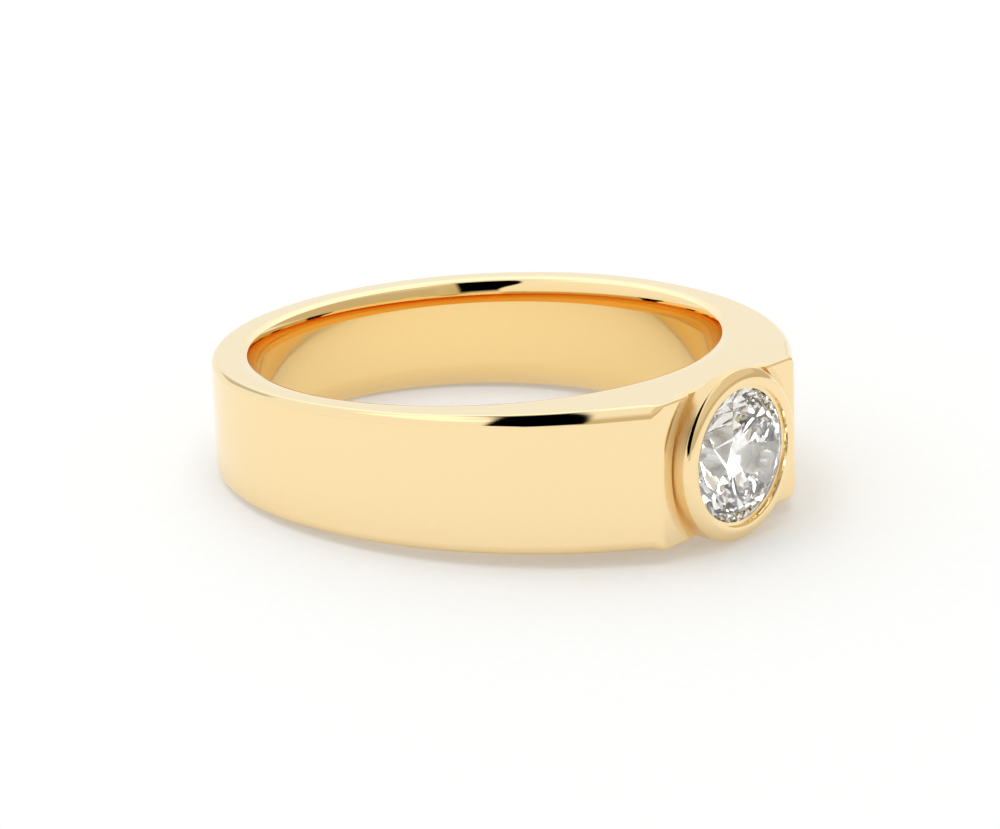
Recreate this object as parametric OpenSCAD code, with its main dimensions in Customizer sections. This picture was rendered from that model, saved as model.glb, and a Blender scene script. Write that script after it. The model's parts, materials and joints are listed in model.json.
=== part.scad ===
// Diamond solitaire ring: a flat-topped gold band with one bezel-set round brilliant.
// The ring lies on its side. The origin is the centre of the finger hole, +Z is up and
// +X runs to the stone. Sizes are in millimetres.

/* [Finger hole] */
// Diameter of the finger hole
bore_d = 17; // [15.5:0.1:18]
// How far the eased edge reaches down the hole's wall
ease_h = 0.6; // [0.3:0.05:0.9]
// How much the eased edge opens the hole at each side face
ease_w = 0.24; // [0.1:0.02:0.4]

/* [Band] */
// Thickness of the band at the back
back_t = 1.45; // [1.2:0.05:1.9]
// Width of the band at the back
back_w = 3.95; // [3.4:0.05:4.4]
// Width of the band at the flat
head_w = 5.14; // [4.8:0.02:5.6]
// Radius of the shoulders, which run from the sides towards the flat
shoulder_r = 12.6; // [12:0.1:13.5]

/* [Head] */
// Distance from the finger hole's centre to the flat
flat_x = 11.2; // [11:0.05:11.8]
// Length of the flat from corner to corner
flat_l = 7.5; // [7:0.1:8]
// Radius at which the groove round the bezel starts on the flat
groove_r = 3.45; // [3.3:0.05:3.7]
// Depth of the groove below the flat
groove_h = 0.74; // [0.4:0.02:0.9]

/* [Bezel] */
// Outside diameter of the bezel
bezel_d = 6.1; // [5.9:0.05:6.4]
// Height of the bezel's crest above the flat
crest_h = 0.7; // [0.5:0.05:0.9]
// Radius of the bezel's rounded rim
rim_r = 0.45; // [0.35:0.01:0.5]
// Width of the lip that covers the diamond's edge
lip_w = 0.13; // [0.08:0.01:0.2]

/* [Diamond] */
// Diameter of the diamond, about half a carat
stone_d = 5.15; // [5:0.05:5.25]
// Width of the table as a part of the diameter
table_part = 0.57; // [0.53:0.01:0.62]
// Slope of the crown's main facets
crown_deg = 34.5; // [31:0.5:36]
// Slope of the pavilion's main facets
pavilion_deg = 40.75; // [39.5:0.25:42]
// Height of the girdle's edge
girdle_h = 0.13; // [0.08:0.01:0.2]
// How far the girdle lies below the bezel's crest
set_depth = 0.43; // [0.34:0.01:0.5]
// Turn of the diamond's facets about the head's axis
stone_turn = 0; // [0:0.5:45]
// Free space between the diamond and its seat
seat_gap = 0.03; // [0.02:0.01:0.06]

/* [Hidden] */
$fn = 128;

bore_r = bore_d / 2;
back_r = bore_r + back_t;
bezel_r = bezel_d / 2;
stone_r = stone_d / 2;
opening_r = stone_r - lip_w;

// The side faces are planes that part evenly from the back to the flat.
side_slope = (head_w - back_w) / 2 / (flat_x + back_r);
function half_w(x) = back_w / 2 + side_slope * (x + back_r);
side_deg = atan(side_slope);

// Each shoulder is an arc that leaves the back's circle at the side. A straight run from
// the flat's corner meets the arc at an angle too small to see, in one clean edge.
meet_deg = 1;
shoulder_c = shoulder_r - back_r;
corner_run = norm([flat_x, flat_l / 2 + shoulder_c]);
run_r = shoulder_r * cos(meet_deg);
run_deg = atan2(flat_l / 2 + shoulder_c, flat_x) + acos(run_r / corner_run);
run_end = [run_r * cos(run_deg), run_r * sin(run_deg) - shoulder_c];

// Heights along the head's axis
crest_x = flat_x + crest_h;
rim_x = crest_x - rim_r;
collar_x = flat_x - groove_h;
girdle_x = crest_x - set_depth;

// The ring lies on the foot of its back and on the bezel's inner edge, which stands out
// below the side face and lifts the head.
rest_deg = atan2(bezel_r - half_w(-back_r), collar_x + back_r);

big = 40;

// Outline of the band, seen along the finger hole
module band_plan() {
    intersection() {
        circle(r = back_r);
        translate([-big, -big]) square([big, 2 * big]);
    }
    intersection() {
        translate([0, -shoulder_c]) circle(r = shoulder_r);
        translate([0, shoulder_c]) circle(r = shoulder_r);
        translate([0, -back_r]) square([(run_end[0] + flat_x) / 2, 2 * back_r]);
    }
    polygon([[run_end[0], -run_end[1]], [flat_x, -flat_l / 2], [flat_x, flat_l / 2], run_end]);
}

// Body between the two side faces, seen from the side
module band_wedge() {
    x0 = -back_r - 1;
    x1 = flat_x + 1;
    rotate([90, 0, 0])
        linear_extrude(height = big, center = true)
            polygon([[x0, -half_w(x0)], [x1, -half_w(x1)], [x1, half_w(x1)], [x0, half_w(x0)]]);
}

// Band with its shoulders and flat, before any cut
module band_blank() {
    intersection() {
        linear_extrude(height = 2 * head_w, center = true) band_plan();
        band_wedge();
    }
}

// Cone that opens the finger hole at the upper side face, square to that face
module eased_edge() {
    over = 1;
    spread = ease_w / ease_h;
    translate([0, 0, half_w(0)])
        rotate([0, -side_deg, 0])
            translate([0, 0, -ease_h - over])
                cylinder(h = ease_h + 2 * over, r1 = bore_r - over * spread,
                         r2 = bore_r + (ease_h + over) * spread);
}

module finger_hole() {
    cylinder(h = 2 * head_w, r = bore_r, center = true);
    eased_edge();
    mirror([0, 0, 1]) eased_edge();
}

// Turns a profile of radius and height round the head's axis
module round_head() {
    rotate([0, 90, 0]) rotate_extrude() children();
}

// Groove round the bezel, cut into the flat
module head_groove() {
    open_x = crest_x + 1;
    round_head()
        polygon([[bezel_r - rim_r, collar_x], [bezel_r, collar_x], [groove_r, flat_x],
                 [groove_r, open_x], [bezel_r - rim_r, open_x]]);
}

// Collar with a rounded rim, before the seat is cut into it
module bezel() {
    round_head() {
        translate([0, collar_x]) square([bezel_r, rim_x - collar_x]);
        translate([bezel_r - rim_r, rim_x]) circle(r = rim_r);
    }
}

// Space for the diamond: a cone below the girdle, the girdle's groove and the opening.
// The cones are a little steeper than the diamond, so that every facet stays clear.
module seat() {
    steeper = 1.2;
    lip = 6;
    wide = stone_r + seat_gap;
    low = girdle_x - girdle_h / 2 - seat_gap;
    high = girdle_x + girdle_h / 2 + seat_gap;
    round_head()
        polygon([[0, low - wide * tan(pavilion_deg + steeper)], [wide, low], [wide, high],
                 [opening_r, high + (wide - opening_r) * tan(crown_deg + lip)],
                 [opening_r, crest_x + 1], [0, crest_x + 1]]);
}

module ring_metal() {
    difference() {
        union() {
            difference() {
                band_blank();
                head_groove();
            }
            bezel();
        }
        finger_hole();
        seat();
    }
}

// Point at a radius, an eighth turn count and a height above the girdle's middle
function facet_point(r, eighth, h) = [r * cos(45 * eighth), r * sin(45 * eighth), h];

// Round brilliant with eight-fold facets; every main facet meets the girdle at one point
module brilliant() {
    table_r = stone_r * table_part;
    star_r = (table_r * cos(22.5) + stone_r) / 2;
    lower_r = 0.24 * stone_r;
    edge = girdle_h / 2;
    crown_h = edge + (stone_r - table_r) * tan(crown_deg);
    star_h = edge + (stone_r - star_r * cos(22.5)) * tan(crown_deg);
    lower_h = -edge - (stone_r - lower_r * cos(22.5)) * tan(pavilion_deg);
    culet_h = -edge - stone_r * tan(pavilion_deg);
    points = [
        for (k = [0:7]) facet_point(table_r, k, crown_h),
        for (k = [0:7]) facet_point(star_r, k + 0.5, star_h),
        for (k = [0:15]) facet_point(stone_r, k / 2, edge),
        for (k = [0:15]) facet_point(stone_r, k / 2, -edge),
        for (k = [0:7]) facet_point(lower_r, k + 0.5, lower_h),
        [0, 0, culet_h]
    ];
    star = 8;
    upper = 16;
    under = 32;
    lower = 48;
    culet = 56;
    faces = [
        [for (k = [0:7]) 7 - k],
        for (k = [0:7]) let (n = (k + 1) % 8) [k, n, star + k],
        for (k = [0:7]) let (b = (k + 7) % 8) [k, star + k, upper + 2 * k, star + b],
        for (k = [0:7]) [star + k, upper + 2 * k + 1, upper + 2 * k],
        for (k = [0:7]) [star + k, upper + (2 * k + 2) % 16, upper + 2 * k + 1],
        for (k = [0:15]) let (n = (k + 1) % 16) [upper + k, upper + n, under + n, under + k],
        for (k = [0:7]) [lower + k, under + 2 * k, under + 2 * k + 1],
        for (k = [0:7]) [lower + k, under + 2 * k + 1, under + (2 * k + 2) % 16],
        for (k = [0:7]) let (b = (k + 7) % 8) [culet, lower + b, under + 2 * k, lower + k]
    ];
    polyhedron(points = points, faces = faces, convexity = 2);
}

// Puts the ring as it lies
module as_it_lies() {
    rotate([0, -rest_deg, 0]) children();
}

module gold_band() {
    color("#e0b765") as_it_lies() ring_metal();
}

module diamond() {
    color("#eef2f5") as_it_lies() translate([girdle_x, 0, 0])
        rotate([0, 90, 0]) rotate([0, 0, stone_turn]) brilliant();
}

gold_band();
diamond();
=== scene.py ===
"""Dresses a diamond solitaire ring: a polished gold band with one bezel-set brilliant.

Shapes are worked out in millimetres in the ring's own frame: the finger hole's axis is Z and
+X runs to the stone. The meshes are then leaned as the ring lies and scaled to metres.
"""
import json
import math
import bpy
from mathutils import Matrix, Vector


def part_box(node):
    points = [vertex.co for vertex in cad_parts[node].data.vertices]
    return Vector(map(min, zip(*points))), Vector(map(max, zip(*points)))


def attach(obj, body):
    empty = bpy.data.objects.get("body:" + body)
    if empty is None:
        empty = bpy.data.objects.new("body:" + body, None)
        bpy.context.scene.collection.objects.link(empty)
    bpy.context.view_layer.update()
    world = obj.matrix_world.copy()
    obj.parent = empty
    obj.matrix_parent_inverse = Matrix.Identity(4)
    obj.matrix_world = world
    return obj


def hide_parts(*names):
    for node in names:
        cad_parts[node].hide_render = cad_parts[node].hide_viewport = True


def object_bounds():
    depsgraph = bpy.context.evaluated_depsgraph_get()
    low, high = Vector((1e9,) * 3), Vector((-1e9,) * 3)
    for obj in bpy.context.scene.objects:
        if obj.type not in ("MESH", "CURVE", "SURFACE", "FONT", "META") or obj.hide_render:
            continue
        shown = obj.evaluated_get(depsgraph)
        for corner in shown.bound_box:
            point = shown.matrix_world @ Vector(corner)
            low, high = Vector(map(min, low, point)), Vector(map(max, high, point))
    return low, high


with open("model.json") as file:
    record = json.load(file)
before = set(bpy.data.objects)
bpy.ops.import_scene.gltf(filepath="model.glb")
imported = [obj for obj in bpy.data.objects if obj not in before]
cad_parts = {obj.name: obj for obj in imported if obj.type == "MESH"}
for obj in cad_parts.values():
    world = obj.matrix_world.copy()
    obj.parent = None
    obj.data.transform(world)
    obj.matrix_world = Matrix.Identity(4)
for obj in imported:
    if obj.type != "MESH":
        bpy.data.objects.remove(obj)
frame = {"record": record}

from types import SimpleNamespace

import bmesh
import bpy
import numpy as np
from mathutils import Matrix, Vector

bl_info = {
    "name": "Diamond Solitaire Ring",
    "version": (1, 0, 0),
    "blender": (4, 5, 0),
    "location": "3D View > Sidebar > Ring",
    "description": "Builds a bezel-set solitaire ring and its photo studio",
    "category": "Object",
}

MM = 0.001
CAD_BOX = [list(corner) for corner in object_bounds()]

# The frame gives the finger hole, the way that the ring lies and the stone's diameter.
HOLE = frame["record"]["mounts"][0]
LEAN = math.atan2(-HOLE["axis"][0], HOLE["axis"][2])
STONE_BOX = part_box("diamond")
FLOOR_Z = CAD_BOX[0][2]

# Turns a point of the ring's own frame, in millimetres, to where it lies, in metres
AS_IT_LIES = Matrix.Rotation(-LEAN, 4, "Y") @ Matrix.Scale(MM, 4)


def length(name, description, metres):
    """A size with its unit"""
    return bpy.props.FloatProperty(
        name=name, description=description, unit="LENGTH", default=metres)


def angle(name, description, degrees):
    """An angle, which Blender keeps in radians"""
    return bpy.props.FloatProperty(
        name=name, description=description, subtype="ANGLE", default=math.radians(degrees))


def colour(name, description, code):
    """A colour as text"""
    return bpy.props.StringProperty(
        name=name, description=description + ", as an sRGB hex value", default=code)


class RingSizes(bpy.types.PropertyGroup):
    """Sizes of the band, the bezel and the diamond"""

    hole_r: length("Hole radius", "Radius of the finger hole", HOLE["dims"]["r_mm"] * MM)
    back_t: length("Back thickness", "Thickness of the band at the back", 1.441 * MM)
    mid_half_w: length("Half width", "Half the band's width beside the hole's centre", 2.281 * MM)
    taper: bpy.props.FloatProperty(
        name="Taper", description="Gain of the half width for each millimetre to the head",
        default=0.02755)
    shoulder_r: length("Shoulder radius", "Radius of each shoulder's arc", 13.08 * MM)
    flat_x: length("Flat height", "Distance of the flat from the hole's centre", 11.276 * MM)
    flat_half_l: length("Flat half length", "Half the flat's length, corner to corner", 3.75 * MM)
    corner_r: length("Corner radius", "Rounding of the flat's corners", 0.75 * MM)
    edge_r: length("Edge radius", "Rounding of the band's outer edges beside the hole", 0.336 * MM)
    edge_gain: bpy.props.FloatProperty(
        name="Edge gain", description="Gain of the edge radius for each millimetre to the head",
        default=0.0066)
    flat_edge_r: length("Flat edge radius", "Rounding of the crisp edges along the flat",
                        0.08 * MM)
    roll_r: length("Roll radius", "Soft roll of the side face towards the hole", 1.3 * MM)
    roll_turn: angle("Roll turn", "How far the soft roll turns before the tight corner", 21.0)
    ease_r: length("Ease corner", "Rounding where the side face turns into the hole", 0.03 * MM)
    ease_h: length("Ease depth", "How far the eased edge reaches down the hole", 0.84 * MM)
    ease_top: angle("Ease slope", "Slope of the eased edge from the hole's wall at its top", 18.5)
    ease_foot: angle("Ease foot slope", "Slope of the eased edge where it meets the wall", 5.0)
    groove_r: length("Groove radius", "Where the groove starts on the flat, beside the bezel",
                     3.12 * MM)
    groove_part: bpy.props.FloatProperty(
        name="Groove stretch", description="How much the groove widens towards the side faces",
        default=1.13)
    groove_h: length("Groove depth", "Depth of the groove below the flat", 0.15 * MM)
    bezel_r: length("Bezel radius", "Outside radius of the bezel", 3.05 * MM)
    crest_h: length("Crest height", "Height of the bezel's crest above the flat", 0.7 * MM)
    rim_r: length("Rim radius", "Radius of the bezel's rounded rim", 0.45 * MM)
    rim_break: angle("Rim break", "Turn of the crisp corner outside the rounded rim", 27.0)
    bevel: angle("Bevel", "Slope of the bezel's back where it stands out past the sides", 62.0)
    opening_r: length("Opening radius", "Radius of the bezel's mouth", 2.475 * MM)
    lip_w: length("Lip width", "Width of the lip over the diamond's edge", 0.21 * MM)
    lip_h: length("Lip height", "Rise of the lip's ledge inside the mouth", 0.03 * MM)
    stone_r: length("Stone radius", "Radius of the diamond", (STONE_BOX[1].y - STONE_BOX[0].y) / 2)
    girdle_x: length("Girdle height", "Distance of the girdle from the hole's centre", 11.49 * MM)
    girdle_h: length("Girdle thickness", "Height of the diamond's girdle", 0.13 * MM)
    table_part: bpy.props.FloatProperty(
        name="Table", description="Width of the table as a part of the diameter", default=0.57)
    crown: angle("Crown angle", "Slope of the crown's main facets", 34.5)
    pavilion: angle("Pavilion angle", "Slope of the pavilion's main facets", 40.75)
    stone_turn: angle("Stone turn", "Turn of the facets about the stone's axis", 0.0)


class TentLights(bpy.types.PropertyGroup):
    """The white tent round the ring and the lamps that light it"""

    cloth: colour("Cloth", "Colour of the lit cloth", "#FFFFFF")
    back_cloth: colour("Back cloth", "Colour of the cloth behind the ring", "#F5FBFF")
    back_level: bpy.props.FloatProperty(
        name="Back level", description="Brightness of the cloth behind the ring", default=1.05)
    glow_level: bpy.props.FloatProperty(
        name="Glow level", description="Brightness of the cloth's glowing patches",
        default=1.35)
    grey_level: bpy.props.FloatProperty(
        name="Grey level", description="Brightness of the cloth's fold on the left", default=0.6)
    shade: colour("Shade", "Colour of the cloth in shade", "#CFC5A8")
    slot_turn: angle("Slot turn", "Way that the slot for the camera faces", 313.0)
    lamp_size: length("Lamp size", "Width of the lamp overhead", 0.5)
    lamp_distance: length("Lamp distance", "From the ring to the lamp", 0.6)
    lamp_turn: angle("Lamp turn", "Way that the lamp stands from the ring", 200.0)
    lamp_height: angle("Lamp height", "Angle of the lamp above the floor", 84.0)
    lamp_power: bpy.props.FloatProperty(
        name="Lamp power", description="Power of the lamp in watts", default=1.15)
    fill_size: length("Fill size", "Width of the lamp that fills the diamond", 0.8)
    fill_turn: angle("Fill turn", "Way that the fill lamp stands from the ring", 20.0)
    fill_height: angle("Fill height", "Angle of the fill lamp above the floor", 35.0)
    fill_power: bpy.props.FloatProperty(
        name="Fill power", description="Power of the fill lamp in watts", default=3.6)
    side_low: colour("Side, low", "Colour of the low cloth on the right", "#CEC3AC")
    side_high: colour("Side, high", "Colour of the high cloth on the right", "#E5DCCA")


class RingLooks(bpy.types.PropertyGroup):
    """Colours and finishes"""

    gold: colour("Gold", "Colour of the gold", "#FBE1AF")
    # Painted reflection: the gold in the hole is drawn a deeper tone, which stands in for warm
    # light bouncing between its walls.
    gold_inside_painted_reflection: colour("Gold inside", "Colour of the gold in the hole", "#FADA9A")
    gold_roughness: bpy.props.FloatProperty(
        name="Gold roughness", description="How soft the gold's reflections are",
        subtype="FACTOR", default=0.045)
    diamond: colour("Diamond", "Colour of the diamond", "#FFFFFF")
    plating: colour("Plating", "Colour of the plated seat", "#F8F7F5")
    card: colour("Card", "Colour of the floor's card", "#DFE1E3")
    card_glow: bpy.props.FloatProperty(
        name="Card glow", description="Brightness of the light that comes up through the card",
        default=0.25)
    card_low: colour("Card shade", "Colour between the card's fibres", "#D9DBDD")


class StudioSizes(bpy.types.PropertyGroup):
    """Camera and floor"""

    aim: bpy.props.FloatVectorProperty(
        name="Aim", description="Point that the camera looks at", unit="LENGTH",
        default=(0.513 * MM, 0.179 * MM, -0.592 * MM))
    distance: length("Distance", "From the camera to the point that it looks at", 136.39 * MM)
    azimuth: angle("Azimuth", "Turn of the camera round the ring", 41.503)
    elevation: angle("Elevation", "Height of the camera's angle above the floor", 19.161)
    roll: angle("Roll", "Turn of the camera about its own axis", 0.466)
    lens: bpy.props.FloatProperty(
        name="Lens", description="Focal length in millimetres", default=134.36)
    clip_start: length("Clip start", "Nearest distance that the camera sees", 1 * MM)
    floor_size: length("Floor", "Length of the floor's sides", 3.0)


def in_mm(group):
    """The group's values as a plain object, its lengths in millimetres"""
    values = SimpleNamespace()
    for name, prop in group.bl_rna.properties.items():
        if name in ("rna_type", "name"):
            continue
        value = getattr(group, name)
        setattr(values, name, value / MM if getattr(prop, "unit", "") == "LENGTH" else value)
    return values


def srgb(code):
    """A hex colour as a linear colour with full alpha"""
    parts = [int(code[i:i + 2], 16) / 255 for i in (1, 3, 5)]
    return [*(p / 12.92 if p <= 0.04045 else ((p + 0.055) / 1.055) ** 2.4 for p in parts), 1.0]


def link(owner, node, links):
    """Links each source into the socket that its key names"""
    for key, source in dict(links).items():
        owner.node_tree.links.new(source, node.inputs[key])


def add_node(owner, kind, settings=(), links=()):
    """Adds one node. Settings are of sockets or of the node, and links go into its sockets."""
    node = owner.node_tree.nodes.new(kind)
    for key, value in dict(settings).items():
        if isinstance(key, int) or key in node.inputs:
            node.inputs[key].default_value = value
        else:
            setattr(node, key, value)
    link(owner, node, links)
    return node


# Mesh making, in millimetres

NORMAL_LAYER = "true_normal"


def stitched(name, rings, normals):
    """A mesh of rings joined by strips. normals holds, for each strip, the normals along its
    first and its last ring, so that a hard edge keeps both. A ring of one point is a tip."""
    starts = np.cumsum([0] + [len(ring) for ring in rings])
    faces, corner_normals = [], []
    for k, (first, last) in enumerate(normals):
        n = (k + 1) % len(rings)
        a, b = starts[k], starts[n]
        count = max(len(rings[k]), len(rings[n]))
        for c in range(count):
            d = (c + 1) % count
            if len(rings[k]) == 1:
                faces.append((a, b + d, b + c))
                corner_normals += [first[c], last[d], last[c]]
            elif len(rings[n]) == 1:
                faces.append((a + c, a + d, b))
                corner_normals += [first[c], first[d], last[c]]
            else:
                faces.append((a + c, a + d, b + d, b + c))
                corner_normals += [first[c], first[d], last[d], last[c]]
    mesh = bpy.data.meshes.new(name)
    mesh.from_pydata(np.concatenate(rings).tolist(), [], faces)
    carried = mesh.attributes.new(NORMAL_LAYER, "FLOAT_VECTOR", "CORNER")
    carried.data.foreach_set("vector", np.array(corner_normals, np.float32).ravel())
    piece = bpy.data.objects.new(name, mesh)
    bpy.context.scene.collection.objects.link(piece)
    return piece


def lathe(name, profile, stretch=1.0, count=192):
    """A solid turned about the X axis and stretched along Z. The profile lists strips, each a
    row of (radius, x, normal's radius, normal's x), and each starts where the last ended."""
    turn = np.linspace(0, 2 * np.pi, count, endpoint=False)
    around = np.stack([np.zeros(count), np.cos(turn), stretch * np.sin(turn)], 1)
    facing = np.stack([np.zeros(count), np.cos(turn), np.sin(turn) / stretch], 1)
    along = np.array([1.0, 0.0, 0.0])
    rings, normals = [], []
    for strip in profile:
        for k, (r, x, nr, nx) in enumerate(strip):
            if k or not rings:
                rings.append((around * r + along * x) if r > 0 else np.array([[x, 0.0, 0.0]]))
            if k:
                was_r, was_x = strip[k - 1][2:]
                normals.append((facing * was_r + along * was_x, facing * nr + along * nx))
    return stitched(name, rings, normals)


def line_strip(start, end):
    """A straight strip of a profile, with its normal to the right of the way it runs"""
    run = np.subtract(end, start)
    run = run / np.hypot(*run)
    return [(*start, run[1], -run[0]), (*end, run[1], -run[0])]


def arc_strip(centre, radius, from_deg, to_deg, steps, outward=1):
    """A round strip of a profile. Degrees run from the radius axis to the X axis."""
    strip = []
    for deg in np.linspace(from_deg, to_deg, steps + 1):
        c, s = math.cos(math.radians(deg)), math.sin(math.radians(deg))
        strip.append((centre[0] + radius * c, centre[1] + radius * s, outward * c, outward * s))
    return strip


def prism(name, corners, half_length):
    """A bar along Y whose section has these corners in X and Z, listed anticlockwise as seen
    towards +Y"""
    count = len(corners)
    points = [(x, y, z) for y in (-half_length, half_length) for x, z in corners]
    faces = [tuple(range(count)), tuple(range(2 * count - 1, count - 1, -1))]
    faces += [(a, a + count, (a + 1) % count + count, (a + 1) % count) for a in range(count)]
    mesh = bpy.data.meshes.new(name)
    mesh.from_pydata(points, [], faces)
    mesh.update()
    carried = mesh.attributes.new(NORMAL_LAYER, "FLOAT_VECTOR", "CORNER")
    for face in mesh.polygons:
        for corner in face.loop_indices:
            carried.data[corner].vector = face.normal
    bar = bpy.data.objects.new(name, mesh)
    bpy.context.scene.collection.objects.link(bar)
    return bar


def combine(piece, other, operation):
    """Cuts or joins two closed solids and leaves the result in the first. Corners nearer than
    the weld become one."""
    weld = 2e-5
    change = piece.modifiers.new(operation.lower(), "BOOLEAN")
    change.operation = operation
    change.solver = "EXACT"
    change.object = other
    result = bpy.data.meshes.new_from_object(
        piece.evaluated_get(bpy.context.evaluated_depsgraph_get()))
    piece.modifiers.clear()
    if not result.polygons:
        raise RuntimeError(f"{operation.lower()} with {other.name} left nothing")
    work = bmesh.new()
    work.from_mesh(result)
    bmesh.ops.remove_doubles(work, verts=work.verts[:], dist=weld)
    work.to_mesh(result)
    work.free()
    piece.data = result
    bpy.data.objects.remove(other)


def use_carried_normals(piece):
    """Shades the mesh with the normals that its corners carry from the true surfaces. A face
    that a cutter left behind is turned over, so the normals that it carries turn too."""
    mesh = piece.data
    tiny = 1e-9
    carried = mesh.attributes[NORMAL_LAYER]
    values = np.zeros(len(mesh.loops) * 3, np.float32)
    carried.data.foreach_get("vector", values)
    values = values.reshape(-1, 3)
    values /= np.maximum(np.linalg.norm(values, axis=1), tiny)[:, None]
    faces = np.zeros(len(mesh.polygons) * 3, np.float32)
    mesh.polygons.foreach_get("normal", faces)
    sizes = np.zeros(len(mesh.polygons), np.int32)
    mesh.polygons.foreach_get("loop_total", sizes)
    facing = np.repeat(faces.reshape(-1, 3), sizes, axis=0)
    values[(values * facing).sum(1) < 0] *= -1
    mesh.attributes.remove(carried)
    mesh.polygons.foreach_set("use_smooth", np.ones(len(mesh.polygons), bool))
    mesh.normals_split_custom_set(values.tolist())


def lay_down(piece):
    """Leans the mesh as the ring lies and turns it to metres"""
    piece.data.transform(AS_IT_LIES)
    piece.data.update()


# The band


def outline_arcs(s):
    """The band's upper outline as arcs joined by straight runs: centre, radius, the degrees
    of the ends and the steps. It runs from the flat round the shoulder to the back."""
    back_r = s.hole_r + s.back_t
    drop = s.shoulder_r - back_r
    corner = np.array([s.flat_x, s.flat_half_l])
    reach = np.hypot(corner[0], corner[1] + drop)
    run_deg = math.degrees(math.atan2(corner[1] + drop, corner[0])
                           + math.acos(s.shoulder_r / reach))
    inset = s.corner_r * math.tan(math.radians(run_deg / 2))
    return [
        ((s.flat_x - s.corner_r, s.flat_half_l - inset), s.corner_r, 0, run_deg, 10),
        ((0, -drop), s.shoulder_r, run_deg, 90, 60),
        ((0, 0), back_r, 90, 180, 72),
    ]


def outline(s):
    """Points and outward normals all round the band's outline, seen along the hole"""
    run_steps, near = 12, 1e-6
    points, normals = [], []
    for centre, radius, start, end, steps in outline_arcs(s):
        angles = np.radians(np.linspace(start, end, steps + 1))
        normal = np.stack([np.cos(angles), np.sin(angles)], 1)
        arc = np.array(centre) + radius * normal
        begin = points[-1][-1] if points else np.array([s.flat_x, 0.0])
        if np.hypot(*(arc[0] - begin)) > near:
            part = np.linspace(0, 1, run_steps + 1)[:-1, None]
            if points:
                part = part[1:]
            points.append(begin + (arc[0] - begin) * part)
            normals.append(np.repeat(normal[:1], len(part), 0))
        else:
            arc, normal = arc[1:], normal[1:]
        points.append(arc)
        normals.append(normal)
    points, normals = np.concatenate(points), np.concatenate(normals)
    flip = np.array([1.0, -1.0])
    return (np.concatenate([points, points[-2:0:-1] * flip]),
            np.concatenate([normals, normals[-2:0:-1] * flip]))


def eased_edge(s):
    """Depth below the side face, radius and slope from the hole's wall, from the face down.
    The face rolls softly to a tight corner, then the slope dies away evenly to the foot.
    Below the foot the wall is straight."""
    roll_steps, corner_steps, ease_steps = 10, 8, 20
    corner_top = math.pi / 2 - s.roll_turn
    parts = np.linspace(0, 1, ease_steps + 1)
    slopes = s.ease_foot + (s.ease_top - s.ease_foot) * (1 - parts) ** 2
    run = s.ease_h - s.ease_r
    steps = run * (parts[1] - parts[0]) * np.tan((slopes[1:] + slopes[:-1]) / 2)
    radii = s.hole_r + np.append(np.cumsum(steps[::-1])[::-1], 0)
    roll_drop = s.roll_r * (1 - math.cos(s.roll_turn))
    corner_r = radii[0] + s.ease_r * (math.cos(s.ease_top) - math.cos(corner_top))
    rows = []
    for slope in np.linspace(math.pi / 2, corner_top, roll_steps + 1)[:-1]:
        rows.append((s.roll_r * (1 - math.sin(slope)),
                     corner_r + s.roll_r * (math.cos(corner_top) - math.cos(slope)), slope))
    for slope in np.linspace(corner_top, s.ease_top, corner_steps + 1)[:-1]:
        rows.append((roll_drop + s.ease_r * (math.sin(corner_top) - math.sin(slope)),
                     radii[0] + s.ease_r * (math.cos(s.ease_top) - math.cos(slope)), slope))
    drop = roll_drop + s.ease_r * (math.sin(corner_top) - math.sin(s.ease_top))
    rows += [(drop + run * part, r, slope) for part, r, slope in zip(parts, radii, slopes)]
    rows.append((rows[-1][0] + s.ease_r, s.hole_r, 0.0))
    return rows


def band_rings(s):
    """Rings of points and normals round the band's section, for a band of even width. The
    outer edge is crisp along the flat and grows rounder on the way to the sides."""
    edge_steps = 12
    points, outward = outline(s)
    bearing = np.arctan2(points[:, 1], points[:, 0])
    radial = np.stack([np.cos(bearing), np.sin(bearing)], 1)
    half = s.mid_half_w
    run_turn = math.radians(outline_arcs(s)[0][3])
    away = np.clip(np.arctan2(np.abs(outward[:, 1]), outward[:, 0]) / run_turn, 0, 1)
    side_edge = s.edge_r + s.edge_gain * points[:, 0]
    edge = (s.flat_edge_r + (side_edge - s.flat_edge_r) * away)[:, None]
    upper = []

    def add_row(plan, height, side, rise):
        level = np.broadcast_to(np.reshape(height, (-1, 1)), (len(plan), 1))
        up = np.full((len(plan), 1), rise)
        upper.append((np.hstack([plan, level]), np.hstack([side, up])))

    for turn in np.linspace(0, math.pi / 2, edge_steps + 1):
        c, z = math.cos(turn), math.sin(turn)
        add_row(points - outward * edge * (1 - c), half - edge * (1 - z), outward * c, z)
    for depth, r, slope in eased_edge(s):
        add_row(radial * r, half - depth, -radial * math.cos(slope), math.sin(slope))
    lower = [(p * (1, 1, -1), n * (1, 1, -1)) for p, n in reversed(upper)]
    return upper + lower


def tapered(s, rings):
    """Widens the band evenly to the head, normals included"""
    slope = s.taper / s.mid_half_w
    result = []
    for points, normals in rings:
        gain = 1 + points[:, 0] * slope
        wide = points.copy()
        wide[:, 2] = points[:, 2] * gain
        lean = normals.copy()
        lean[:, 0] = normals[:, 0] - normals[:, 2] * points[:, 2] * slope / gain
        lean[:, 2] = normals[:, 2] / gain
        result.append((wide, lean / np.linalg.norm(lean, axis=1)[:, None]))
    return result


def make_band_blank(s):
    """The band with its shoulders, flat and eased edges, before the groove is cut"""
    rings = tapered(s, band_rings(s))
    strips = [(rings[k][1], rings[(k + 1) % len(rings)][1]) for k in range(len(rings))]
    return stitched("gold_ring_metal", [points for points, _ in rings], strips)


# The cup's foot fills a room bored for it in the band, and laps over the room's wall and floor.
FOOT_R, FOOT_WALL = 2.4, 0.3
ROOM_R, ROOM_WALL = 2.25, 0.35

# How far a cutter stands out past the crest
CUTTER_REACH = 1


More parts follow.
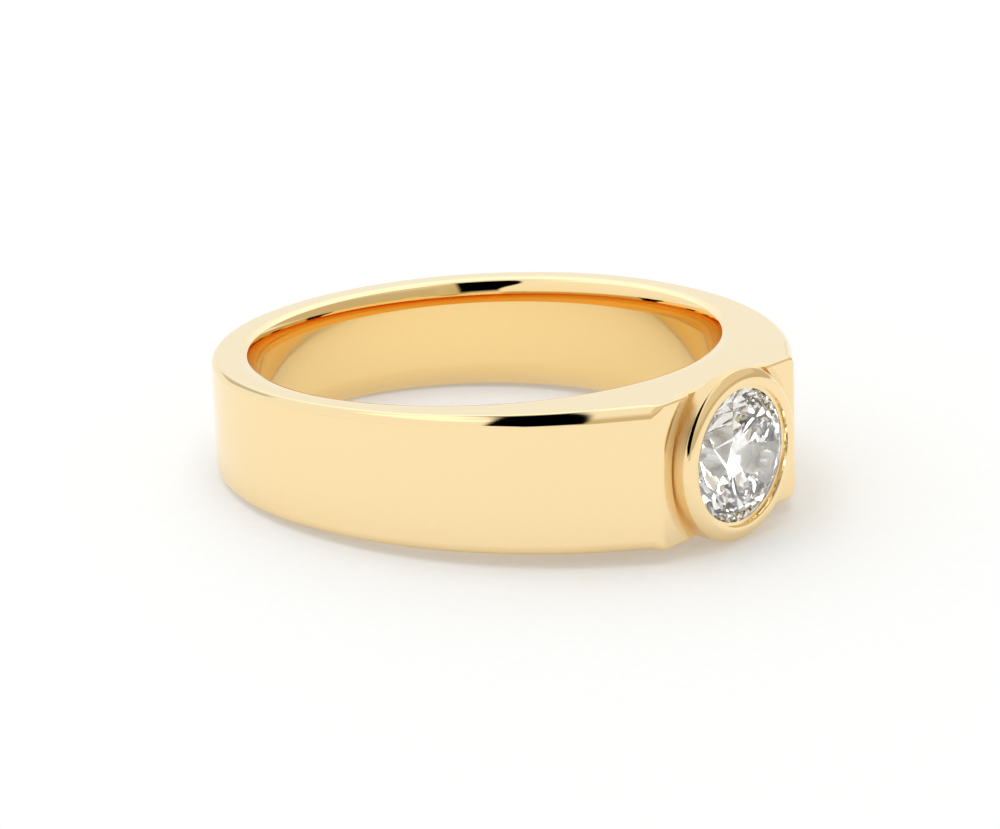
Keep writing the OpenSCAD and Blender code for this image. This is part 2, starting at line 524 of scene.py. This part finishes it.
def room_cutter(s):
    """Room for the foot of the bezel's cup"""
    start_x, end_x = s.hole_r + ROOM_WALL, s.flat_x - s.groove_h / 2
    return lathe("room_cutter", [
        line_strip((0, start_x), (ROOM_R, start_x)),
        line_strip((ROOM_R, start_x), (ROOM_R, end_x)),
        line_strip((ROOM_R, end_x), (0, end_x)),
    ])


def groove_cutter(s):
    """The groove round the bezel, with its mouth softly rounded onto the flat. Its floor
    stays a hair above the cup's back, so that the two don't lie in one plane."""
    lap, gap = 0.01, 0.02
    mouth_r, mouth_w, mouth_steps = 0.03, 0.3, 6
    floor_x = s.flat_x - s.groove_h + lap
    floor_r = s.bezel_r + gap
    slope = math.atan2(s.groove_h, s.groove_r - floor_r)
    inset = mouth_r * math.tan(slope / 2)
    centre = (s.groove_r + inset, s.flat_x - mouth_r)
    mouth = arc_strip(centre, mouth_r, 90 + math.degrees(slope), 90, mouth_steps)
    wide_r = mouth[-1][0] + mouth_w
    open_x = s.flat_x + s.crest_h + CUTTER_REACH
    return lathe("groove_cutter", [
        line_strip((0, floor_x), (floor_r, floor_x)),
        line_strip((floor_r, floor_x), mouth[0][:2]),
        [(r, x, -nr, -nx) for r, x, nr, nx in mouth],
        line_strip(mouth[-1][:2], (wide_r, s.flat_x)),
        line_strip((wide_r, s.flat_x), (wide_r, open_x)),
        line_strip((wide_r, open_x), (0, open_x)),
    ], s.groove_part)


def seat_profile(s):
    """Radius and height of the seat from under the lip to its tip. It stays a gap off the
    stone, and both of its cones are a little steeper than the stone's."""
    gap = 0.03
    steeper_crown, steeper_pavilion = math.radians(2), math.radians(1.2)
    lip_r = s.stone_r - s.lip_w
    wide = s.stone_r + gap
    low = s.girdle_x - s.girdle_h / 2 - gap
    high = s.girdle_x + s.girdle_h / 2 + gap
    under_lip = high + (wide - lip_r) * math.tan(s.crown + steeper_crown)
    tip_x = low - wide * math.tan(s.pavilion + steeper_pavilion)
    return [(lip_r, under_lip), (wide, high), (wide, low), (0, tip_x)]


def bezel_cup(s):
    """The collar with its rounded rim, and inside it the mouth, the ledge over the stone's
    edge and the seat. A crisp corner parts the collar from the rim."""
    soft, corner_steps, rim_steps = 0.03, 6, 40
    back_x = s.flat_x - s.groove_h
    foot_x = s.hole_r + FOOT_WALL
    crest_x = s.flat_x + s.crest_h
    turn = math.cos(s.rim_break)
    rim_c = (s.bezel_r - soft * (1 - turn) - s.rim_r * turn, crest_x - s.rim_r)
    corner_c = (s.bezel_r - soft, rim_c[1] + (s.rim_r - soft) * math.sin(s.rim_break))
    break_deg = math.degrees(s.rim_break)
    corner = arc_strip(corner_c, soft, 0, break_deg, corner_steps)
    lip_deg = math.degrees(math.acos((s.opening_r - rim_c[0]) / s.rim_r))
    rim = arc_strip(rim_c, s.rim_r, break_deg, lip_deg, rim_steps)
    seat = seat_profile(s)
    corners = [rim[-1][:2], (s.opening_r, seat[0][1] + s.lip_h), *seat]
    return lathe("bezel_cup", [
        line_strip((0, foot_x), (FOOT_R, foot_x)),
        line_strip((FOOT_R, foot_x), (FOOT_R, back_x)),
        line_strip((FOOT_R, back_x), (s.bezel_r, back_x)),
        line_strip((s.bezel_r, back_x), corner[0][:2]),
        corner,
        rim,
        *(line_strip(a, b) for a, b in zip(corners, corners[1:])),
    ])


def bezel_sides(s):
    """Bounds of the bezel's back: inside the band as far as the groove's floor, then bevelled
    out to the bezel's full width"""
    clear, lap = 0.03, 0.004
    start_x = s.hole_r
    bevel_x = s.flat_x - s.groove_h + lap
    end_x = s.flat_x + s.crest_h + CUTTER_REACH
    start_z = s.mid_half_w + s.taper * start_x - clear
    bevel_z = s.mid_half_w + s.taper * bevel_x - clear
    end_z = bevel_z + (end_x - bevel_x) * math.tan(s.bevel)
    upper = [(start_x, start_z), (bevel_x, bevel_z), (end_x, end_z)]
    lower = [(x, -z) for x, z in upper]
    return prism("bezel_sides", lower + upper[::-1], 2 * s.bezel_r)


def mark_seat(metal, s):
    """Gives the second material to the seat, whose faces look inwards under the lip"""
    near = 0.005
    seat = seat_profile(s)
    top_x, wide, tip_x = seat[0][1], seat[1][0], seat[-1][1]
    for face in metal.data.polygons:
        x, y, z = face.center
        inside = math.hypot(y, z) < wide + near and tip_x - near < x < top_x
        inward = face.normal.y * y + face.normal.z * z < 0
        face.material_index = int(inside and inward)


def make_metal(s):
    """Band and bezel as one closed solid"""
    metal = make_band_blank(s)
    combine(metal, room_cutter(s), "DIFFERENCE")
    combine(metal, groove_cutter(s), "DIFFERENCE")
    bezel = bezel_cup(s)
    combine(bezel, bezel_sides(s), "INTERSECT")
    combine(metal, bezel, "UNION")
    use_carried_normals(metal)
    mark_seat(metal, s)
    lay_down(metal)
    return metal


# The diamond


def cut_facet(solid, through, normal):
    """Grinds one facet: takes off what lies beyond the plane and closes the cut"""
    near = 1e-5
    cut = bmesh.ops.bisect_plane(
        solid, geom=solid.verts[:] + solid.edges[:] + solid.faces[:], dist=near,
        plane_co=through, plane_no=normal, clear_outer=True)
    edges = [g for g in cut["geom_cut"] if isinstance(g, bmesh.types.BMEdge)]
    if edges:
        bmesh.ops.contextual_create(solid, geom=edges)


def plane_of(a, b, c):
    """A point and the outward normal of the plane through three points"""
    a, b, c = Vector(a), Vector(b), Vector(c)
    normal = (b - a).cross(c - a).normalized()
    return a, normal if normal.dot(a) > 0 else -normal


def make_diamond(s):
    """A round brilliant ground facet by facet from a round blank, about its own axis"""
    blank_sides = 128
    # Where the facets under the girdle start from the culet, as a part of the radius
    lower_part = 0.24
    r, edge = s.stone_r, s.girdle_h / 2
    table_r = r * s.table_part
    half_step = math.cos(math.pi / 8)
    star_r = (table_r * half_step + r) / 2
    lower_r = lower_part * r
    table_z = edge + (r - table_r) * math.tan(s.crown)
    star_z = edge + (r - star_r * half_step) * math.tan(s.crown)
    lower_z = -edge - (r - lower_r * half_step) * math.tan(s.pavilion)
    culet_z = -edge - r * math.tan(s.pavilion)

    def at(radius, eighth, z):
        turn = s.stone_turn + eighth * math.pi / 4
        return (radius * math.cos(turn), radius * math.sin(turn), z)

    solid = bmesh.new()
    bmesh.ops.create_cone(solid, cap_ends=True, segments=blank_sides, radius1=r, radius2=r,
                          depth=2 * (table_z - culet_z))
    planes = [(Vector((0, 0, table_z)), Vector((0, 0, 1)))]
    for k in range(8):
        planes.append(plane_of(at(table_r, k, table_z), at(star_r, k + 0.5, star_z),
                               at(star_r, k - 0.5, star_z)))
        planes.append(plane_of(at(table_r, k, table_z), at(table_r, k + 1, table_z),
                               at(star_r, k + 0.5, star_z)))
        planes.append(plane_of(at(0, 0, culet_z), at(lower_r, k + 0.5, lower_z),
                               at(lower_r, k - 0.5, lower_z)))
        for side in (0, 1):
            rim = (at(r, k + side, edge), at(r, k + 0.5, edge))
            planes.append(plane_of(at(star_r, k + 0.5, star_z), *rim))
            rim = (at(r, k + side, -edge), at(r, k + 0.5, -edge))
            planes.append(plane_of(at(lower_r, k + 0.5, lower_z), *rim))
    for through, normal in planes:
        cut_facet(solid, through, normal)
    bmesh.ops.recalc_face_normals(solid, faces=solid.faces[:])
    solid.transform(Matrix.Translation((s.girdle_x, 0, 0)) @ Matrix.Rotation(math.pi / 2, 4, "Y"))
    mesh = bpy.data.meshes.new("diamond_stone")
    solid.to_mesh(mesh)
    solid.free()
    stone = bpy.data.objects.new("diamond_stone", mesh)
    bpy.context.scene.collection.objects.link(stone)
    lay_down(stone)
    return stone


# Materials


def new_material(name):
    """A material and its shader"""
    material = bpy.data.materials.new(name)
    material.use_nodes = True
    return material, material.node_tree.nodes["Principled BSDF"]


def gold_tone_with_painted_reflection(material, look, s, upright):
    """The gold's colour, with a painted reflection in the hole: a deeper tone that stands in for
    warm light bouncing between the hole's gold walls. It changes across the rounded corner,
    whose ends lie this far outside the hole's wall."""
    corner_start, corner_end = 0.02, 0.12
    plan = add_node(material, "ShaderNodeVectorMath",
                    {"operation": "MULTIPLY", 1: (1 / MM, 1 / MM, 0)}, {0: upright})
    reach = add_node(material, "ShaderNodeVectorMath", {"operation": "LENGTH"},
                     {0: plan.outputs[0]})
    outside = add_node(material, "ShaderNodeMapRange",
                       {"From Min": s.hole_r + corner_start, "From Max": s.hole_r + corner_end},
                       {"Value": reach.outputs["Value"]})
    # The painted reflection: inside the hole the colour turns to the deeper tone.
    tone = add_node(material, "ShaderNodeMix",
                    {"data_type": "RGBA", 6: srgb(look.gold_inside_painted_reflection), 7: srgb(look.gold)},
                    {"Factor": outside.outputs[0]})
    return tone.outputs[2]


def crease_satin(material, s, upright):
    """Satin round the bezel's foot, where the wheel doesn't reach. It lies about a circle on
    the flat, is whole as far as near and gone at far."""
    circle_r = s.bezel_r + 0.05
    near, far = 0.35, 0.55
    satin = 0.45
    face = add_node(material, "ShaderNodeVectorMath",
                    {"operation": "MULTIPLY", 1: (0, 1 / MM, 1 / MM)}, {0: upright})
    reach = add_node(material, "ShaderNodeVectorMath", {"operation": "LENGTH"},
                     {0: face.outputs[0]})
    past = add_node(material, "ShaderNodeMath", {"operation": "SUBTRACT", 1: circle_r},
                    {0: reach.outputs["Value"]})
    beside = add_node(material, "ShaderNodeMath", {"operation": "ABSOLUTE"},
                      {0: past.outputs[0]})
    axes = add_node(material, "ShaderNodeSeparateXYZ", (), {0: upright})
    rise = add_node(material, "ShaderNodeMath", {"operation": "SUBTRACT", 1: s.flat_x * MM},
                    {0: axes.outputs["X"]})
    lift = add_node(material, "ShaderNodeMath", {"operation": "ABSOLUTE"}, {0: rise.outputs[0]})
    above = add_node(material, "ShaderNodeMath", {"operation": "DIVIDE", 1: MM},
                     {0: lift.outputs[0]})
    way_off = add_node(material, "ShaderNodeMath", {"operation": "MAXIMUM"},
                       {0: beside.outputs[0], 1: above.outputs[0]})
    crease = add_node(material, "ShaderNodeMapRange",
                      {"interpolation_type": "SMOOTHSTEP", "From Min": near, "From Max": far,
                       "To Min": satin, "To Max": 0.0}, {"Value": way_off.outputs[0]})
    return crease.outputs[0]


def polished_gold(look, s):
    """14 carat yellow gold, cast and polished: a mirror with a warm tint, whose faint waves
    left by the buffing wheel bend the reflections a little"""
    material, shader = new_material("polished_yellow_gold")
    shader.inputs["Metallic"].default_value = 1.0
    place = add_node(material, "ShaderNodeTexCoord").outputs["Object"]
    upright = add_node(material, "ShaderNodeVectorRotate",
                       {"rotation_type": "Y_AXIS", "Angle": LEAN}, {"Vector": place}).outputs[0]
    # The wheel leaves waves about 1.5 mm long and a third of a micron deep. They are drawn
    # three times as deep, so that they show.
    waves = add_node(material, "ShaderNodeTexNoise", {"Scale": 1 / (1.5 * MM), "Detail": 1.0},
                     {"Vector": place})
    bump = add_node(material, "ShaderNodeBump", {"Distance": 0.001 * MM},
                    {"Height": waves.outputs["Fac"]})
    # Handling dulls the polish in patches a few millimetres wide.
    dullest, brightest = look.gold_roughness * 1.3, look.gold_roughness * 0.7
    patches = add_node(material, "ShaderNodeTexNoise", {"Scale": 1 / (3 * MM), "Detail": 3.0},
                       {"Vector": place})
    dulled = add_node(material, "ShaderNodeMapRange",
                      {"From Min": 0.35, "From Max": 0.65, "To Min": brightest,
                       "To Max": dullest}, {"Value": patches.outputs["Fac"]})
    rough = add_node(material, "ShaderNodeMath", {"operation": "MAXIMUM"},
                     {0: dulled.outputs[0], 1: crease_satin(material, s, upright)})
    link(material, shader, {"Base Color": gold_tone_with_painted_reflection(material, look, s, upright),
                            "Roughness": rough.outputs[0],
                            "Normal": bump.outputs["Normal"]})
    return material


def plated_seat(look):
    """Rhodium plating on the seat, as cut by the burr: a white metal with a satin grain, so
    that the diamond takes no yellow from the gold"""
    material, shader = new_material("rhodium_plated_seat")
    shader.inputs["Base Color"].default_value = srgb(look.plating)
    shader.inputs["Metallic"].default_value = 1.0
    place = add_node(material, "ShaderNodeTexCoord")
    # The burr's marks lie about 0.15 mm apart.
    grain = add_node(material, "ShaderNodeTexNoise", {"Scale": 1 / (0.15 * MM), "Detail": 2.0},
                     {"Vector": place.outputs["Object"]})
    satin = add_node(material, "ShaderNodeMapRange", {"To Min": 0.3, "To Max": 0.5},
                     {"Value": grain.outputs["Fac"]})
    bump = add_node(material, "ShaderNodeBump", {"Distance": 0.002 * MM},
                    {"Height": grain.outputs["Fac"]})
    link(material, shader, {"Roughness": satin.outputs[0], "Normal": bump.outputs["Normal"]})
    return material


def cut_diamond(look):
    """Diamond, cut and polished: clear, with the high index that gives it its fire. The
    girdle, whose faces stand along the stone's axis, is left as bruted, which is matte."""
    diamond_ior = 2.417
    matte = 0.45
    upright, leaning = 0.05, 0.1
    material, shader = new_material("polished_diamond")
    shader.inputs["Base Color"].default_value = srgb(look.diamond)
    shader.inputs["Transmission Weight"].default_value = 1.0
    shader.inputs["IOR"].default_value = diamond_ior
    surface = add_node(material, "ShaderNodeNewGeometry")
    turned = add_node(material, "ShaderNodeVectorMath",
                      {"operation": "DOT_PRODUCT", 1: (math.cos(LEAN), 0, math.sin(LEAN))},
                      {0: surface.outputs["True Normal"]})
    away = add_node(material, "ShaderNodeMath", {"operation": "ABSOLUTE"},
                    {0: turned.outputs["Value"]})
    bruted = add_node(material, "ShaderNodeMapRange",
                      {"From Min": upright, "From Max": leaning, "To Min": matte,
                       "To Max": 0.0},
                      {"Value": away.outputs[0]})
    link(material, shader, {"Roughness": bruted.outputs[0]})
    return material


def matte_card(look):
    """Pressed paper card, uncoated and lit from below: matte, with a faint felt of fibres and
    an even glow that softens the shadows"""
    material, shader = new_material("uncoated_paper_card")
    shader.inputs["Specular IOR Level"].default_value = 0.2
    shader.inputs["Emission Color"].default_value = (1, 1, 1, 1)
    shader.inputs["Emission Strength"].default_value = look.card_glow
    place = add_node(material, "ShaderNodeTexCoord")
    # The fibres clump about every 0.4 mm.
    fibres = add_node(material, "ShaderNodeTexNoise", {"Scale": 1 / (0.4 * MM), "Detail": 4.0},
                      {"Vector": place.outputs["Object"]})
    tone = add_node(material, "ShaderNodeMix",
                    {"data_type": "RGBA", 6: srgb(look.card_low), 7: srgb(look.card)},
                    {0: fibres.outputs["Fac"]})
    felt = add_node(material, "ShaderNodeMapRange", {"To Min": 0.85, "To Max": 0.95},
                    {"Value": fibres.outputs["Fac"]})
    bump = add_node(material, "ShaderNodeBump", {"Distance": 0.01 * MM},
                    {"Height": fibres.outputs["Fac"]})
    link(material, shader, {"Base Color": tone.outputs[2], "Roughness": felt.outputs[0],
                            "Normal": bump.outputs["Normal"]})
    return material


# The studio

# Patches of the tent's cloth. Each row is one soft edge: the axis that it lies across, where
# the patch has faded out and where it is whole. The axes are parts of an arrow one long from
# the ring: along runs to the camera's slot, across to the right as the camera sees it, and up
# overhead.
SLOT = (("past_left", -0.025, 0.025), ("past_right", 0.025, -0.025),
        ("along", -0.83, -0.45), ("up", 0.05, 0.15))
FRONT = (("along", -0.6, 0.1),)
BACK_GLOW = (("up", 0.22, 0.5), ("up", 0.93, 0.8), ("along", -0.3, -0.6),
             ("across", -0.3, -0.15))
HIGH_GLOW = (("up", 0.78, 0.84), ("up", 0.97, 0.93), ("across", -0.6, -0.45),
             ("across", -0.05, -0.15))
LEFT_FOLD = (("across", -0.67, -0.6), ("across", -0.34, -0.42), ("up", 0.2, 0.26),
             ("up", 0.6, 0.52), ("along", -0.25, -0.4))
RIGHT_SIDE = (("across", 0.2, 0.4), ("up", 0.05, 0.1), ("up", 0.96, 0.9))
HIGH_HALF = (("up", 0.33, 0.42),)
SLOT_SHADE = (("past_right", -0.1, 0.0), ("past_right", 0.3, 0.05), ("along", 0.1, 0.4),
              ("up", 0.9, 0.3))

# Light bounces often between the ring's mirrors and inside the diamond.
LIGHT_BOUNCES = 24
GOLD_BOUNCES = 20


def tent_patch(world, axes, edges):
    """How much of a patch lies in each direction, from 0 to 1, with all its soft edges"""
    patch = None
    for axis, faded_at, whole_at in edges:
        edge = add_node(world, "ShaderNodeMapRange",
                        {"interpolation_type": "SMOOTHSTEP", "From Min": faded_at,
                         "From Max": whole_at}, {"Value": axes[axis]}).outputs[0]
        if patch:
            edge = add_node(world, "ShaderNodeMath", {"operation": "MULTIPLY"},
                            {0: patch, 1: edge}).outputs[0]
        patch = edge
    return patch


def slot_edges(world, axes):
    """How far across each direction lies past the slot's left and right edges. The slot is
    widest in front and narrows overhead, and its left edge stands further right low down."""
    behind, front = -0.35, 0.9
    left = add_node(world, "ShaderNodeMapRange",
                    {"From Min": behind, "From Max": front, "To Min": -0.15, "To Max": -0.36},
                    {"Value": axes["along"]})
    right = add_node(world, "ShaderNodeMapRange",
                     {"From Min": behind, "From Max": front, "To Min": 0.02, "To Max": 0.18},
                     {"Value": axes["along"]})
    low = add_node(world, "ShaderNodeMapRange",
                   {"interpolation_type": "SMOOTHSTEP", "From Min": 0.12, "From Max": 0.36,
                    "To Min": 0.2, "To Max": 0.0}, {"Value": axes["up"]})
    past_high_left = add_node(world, "ShaderNodeMath", {"operation": "SUBTRACT"},
                              {0: axes["across"], 1: left.outputs[0]})
    past_left = add_node(world, "ShaderNodeMath", {"operation": "SUBTRACT"},
                         {0: past_high_left.outputs[0], 1: low.outputs[0]})
    past_right = add_node(world, "ShaderNodeMath", {"operation": "SUBTRACT"},
                          {0: axes["across"], 1: right.outputs[0]})
    return {"past_left": past_left.outputs[0], "past_right": past_right.outputs[0]}


def cloth_light(code, level=1.0):
    """The light of cloth with this hex colour, at this brightness"""
    return [part * level for part in srgb(code)[:3]] + [1.0]


def light_tent(tent):
    """The white cloth tent round the ring, lit from outside. A dark slot for the camera opens
    in front and runs on overhead, and the cloth next to it on the right hangs in shade."""
    world = bpy.data.worlds.new("light_tent")
    world.use_nodes = True
    way = add_node(world, "ShaderNodeTexCoord")
    turned = add_node(world, "ShaderNodeVectorRotate",
                      {"rotation_type": "Z_AXIS", "Angle": -tent.slot_turn},
                      {"Vector": way.outputs["Generated"]})
    split = add_node(world, "ShaderNodeSeparateXYZ", (), {"Vector": turned.outputs[0]})
    axes = dict(zip(("along", "across", "up"), split.outputs))
    axes.update(slot_edges(world, axes))
    glow = add_node(world, "ShaderNodeMath", {"operation": "MAXIMUM"},
                    {0: tent_patch(world, axes, BACK_GLOW), 1: tent_patch(world, axes, HIGH_GLOW)})
    side = add_node(world, "ShaderNodeMix",
                    {"data_type": "RGBA", 6: cloth_light(tent.side_low),
                     7: cloth_light(tent.side_high)},
                    {"Factor": tent_patch(world, axes, HIGH_HALF)})
    cloth = add_node(world, "ShaderNodeMix",
                     {"data_type": "RGBA", 6: cloth_light(tent.back_cloth, tent.back_level),
                      7: cloth_light(tent.cloth)},
                     {"Factor": tent_patch(world, axes, FRONT)})
    layers = (
        (glow.outputs[0], {7: cloth_light(tent.cloth, tent.glow_level)}, {}),
        (tent_patch(world, axes, LEFT_FOLD), {7: cloth_light(tent.cloth, tent.grey_level)}, {}),
        (tent_patch(world, axes, RIGHT_SIDE), {}, {7: side.outputs[2]}),
        (tent_patch(world, axes, SLOT_SHADE), {7: cloth_light(tent.shade)}, {}),
        (tent_patch(world, axes, SLOT), {7: cloth_light("#000000")}, {}),
    )
    for patch, settings, sources in layers:
        cloth = add_node(world, "ShaderNodeMix", {"data_type": "RGBA", **settings},
                         {"Factor": patch, 6: cloth.outputs[2], **sources})
    link(world, world.node_tree.nodes["Background"], {"Color": cloth.outputs[2]})
    return world


def hang_lamp(name, size, distance, turn, height, power):
    """A round soft box that faces the ring. The gold mirrors the tent's cloth and not the
    lamps behind it."""
    lamp_data = bpy.data.lights.new(name, "AREA")
    lamp_data.shape = "DISK"
    lamp_data.size = size
    lamp_data.energy = power
    lamp = bpy.data.objects.new(name, lamp_data)
    lamp.matrix_world = (
        Matrix.Rotation(turn, 4, "Z")
        @ Matrix.Rotation(math.pi / 2 - height, 4, "Y")
        @ Matrix.Translation((0, 0, distance)))
    lamp.visible_glossy = False
    bpy.context.scene.collection.objects.link(lamp)
    return lamp


def lay_floor(studio, look):
    """The card that the ring lies on"""
    bpy.ops.mesh.primitive_plane_add(size=studio.floor_size, location=(0, 0, FLOOR_Z))
    floor = bpy.context.object
    floor.name = "floor"
    floor.data.materials.append(matte_card(look))
    return floor


def stand_camera(studio):
    """The camera, turned round the point that it looks at"""
    camera_data = bpy.data.cameras.new("camera")
    camera_data.lens = studio.lens
    camera_data.clip_start = studio.clip_start
    camera = bpy.data.objects.new("camera", camera_data)
    camera.matrix_world = (
        Matrix.Translation(studio.aim)
        @ Matrix.Rotation(studio.azimuth, 4, "Z")
        @ Matrix.Rotation(math.pi / 2 - studio.elevation, 4, "X")
        @ Matrix.Rotation(studio.roll, 4, "Z")
        @ Matrix.Translation((0, 0, studio.distance)))
    bpy.context.scene.collection.objects.link(camera)
    return camera


class RING_OT_metal(bpy.types.Operator):
    """Makes the gold band with its bezel"""

    bl_idname = "solitaire.metal"
    bl_label = "Gold Band"

    def execute(self, context):
        sizes = in_mm(context.scene.ring_sizes)
        metal = make_metal(sizes)
        look = context.scene.ring_looks
        metal.data.materials.append(polished_gold(look, sizes))
        metal.data.materials.append(plated_seat(look))
        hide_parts("gold_band")
        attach(metal, "root")
        return {"FINISHED"}


class RING_OT_diamond(bpy.types.Operator):
    """Makes the diamond"""

    bl_idname = "solitaire.diamond"
    bl_label = "Diamond"

    def execute(self, context):
        stone = make_diamond(in_mm(context.scene.ring_sizes))
        stone.data.materials.append(cut_diamond(context.scene.ring_looks))
        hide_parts("diamond")
        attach(stone, "root")
        return {"FINISHED"}


class RING_OT_studio(bpy.types.Operator):
    """Makes the floor, the lights and the camera"""

    bl_idname = "solitaire.studio"
    bl_label = "Studio"

    def execute(self, context):
        studio = context.scene.studio_sizes
        tent = context.scene.tent_lights
        floor = lay_floor(studio, context.scene.ring_looks)
        context.scene.world = light_tent(tent)
        hang_lamp("overhead_lamp", tent.lamp_size, tent.lamp_distance, tent.lamp_turn,
                  tent.lamp_height, tent.lamp_power)
        fill = hang_lamp("fill_lamp", tent.fill_size, tent.lamp_distance, tent.fill_turn,
                         tent.fill_height, tent.fill_power)
        # The fill lamp's light shows only through the diamond.
        fill.visible_diffuse = False
        context.scene.camera = stand_camera(studio)
        context.scene.view_settings.view_transform = "Standard"
        context.scene.cycles.max_bounces = LIGHT_BOUNCES
        context.scene.cycles.glossy_bounces = GOLD_BOUNCES
        context.scene.cycles.transmission_bounces = LIGHT_BOUNCES
        return {"FINISHED"}


class RING_PT_panel(bpy.types.Panel):
    """Lists the ring's steps and sizes"""

    bl_label = "Solitaire Ring"
    bl_idname = "RING_PT_panel"
    bl_space_type = "VIEW_3D"
    bl_region_type = "UI"
    bl_category = "Ring"

    def draw(self, context):
        for step in STEPS:
            self.layout.operator(step.bl_idname)
        for group in GROUPS:
            values = getattr(context.scene, group)
            box = self.layout.box()
            for name in values.bl_rna.properties.keys():
                if name not in ("rna_type", "name"):
                    box.prop(values, name)


GROUPS = {"ring_sizes": RingSizes, "ring_looks": RingLooks, "studio_sizes": StudioSizes,
          "tent_lights": TentLights}
STEPS = (RING_OT_metal, RING_OT_diamond, RING_OT_studio)


def register():
    for name, group in GROUPS.items():
        bpy.utils.register_class(group)
        setattr(bpy.types.Scene, name, bpy.props.PointerProperty(type=group))
    for step in STEPS:
        bpy.utils.register_class(step)
    bpy.utils.register_class(RING_PT_panel)


def unregister():
    bpy.utils.unregister_class(RING_PT_panel)
    for step in reversed(STEPS):
        bpy.utils.unregister_class(step)
    for name, group in GROUPS.items():
        delattr(bpy.types.Scene, name)
        bpy.utils.unregister_class(group)


def main():
    register()
    bpy.ops.solitaire.metal()
    bpy.ops.solitaire.diamond()
    bpy.ops.solitaire.studio()


if __name__ == "__main__":
    main()
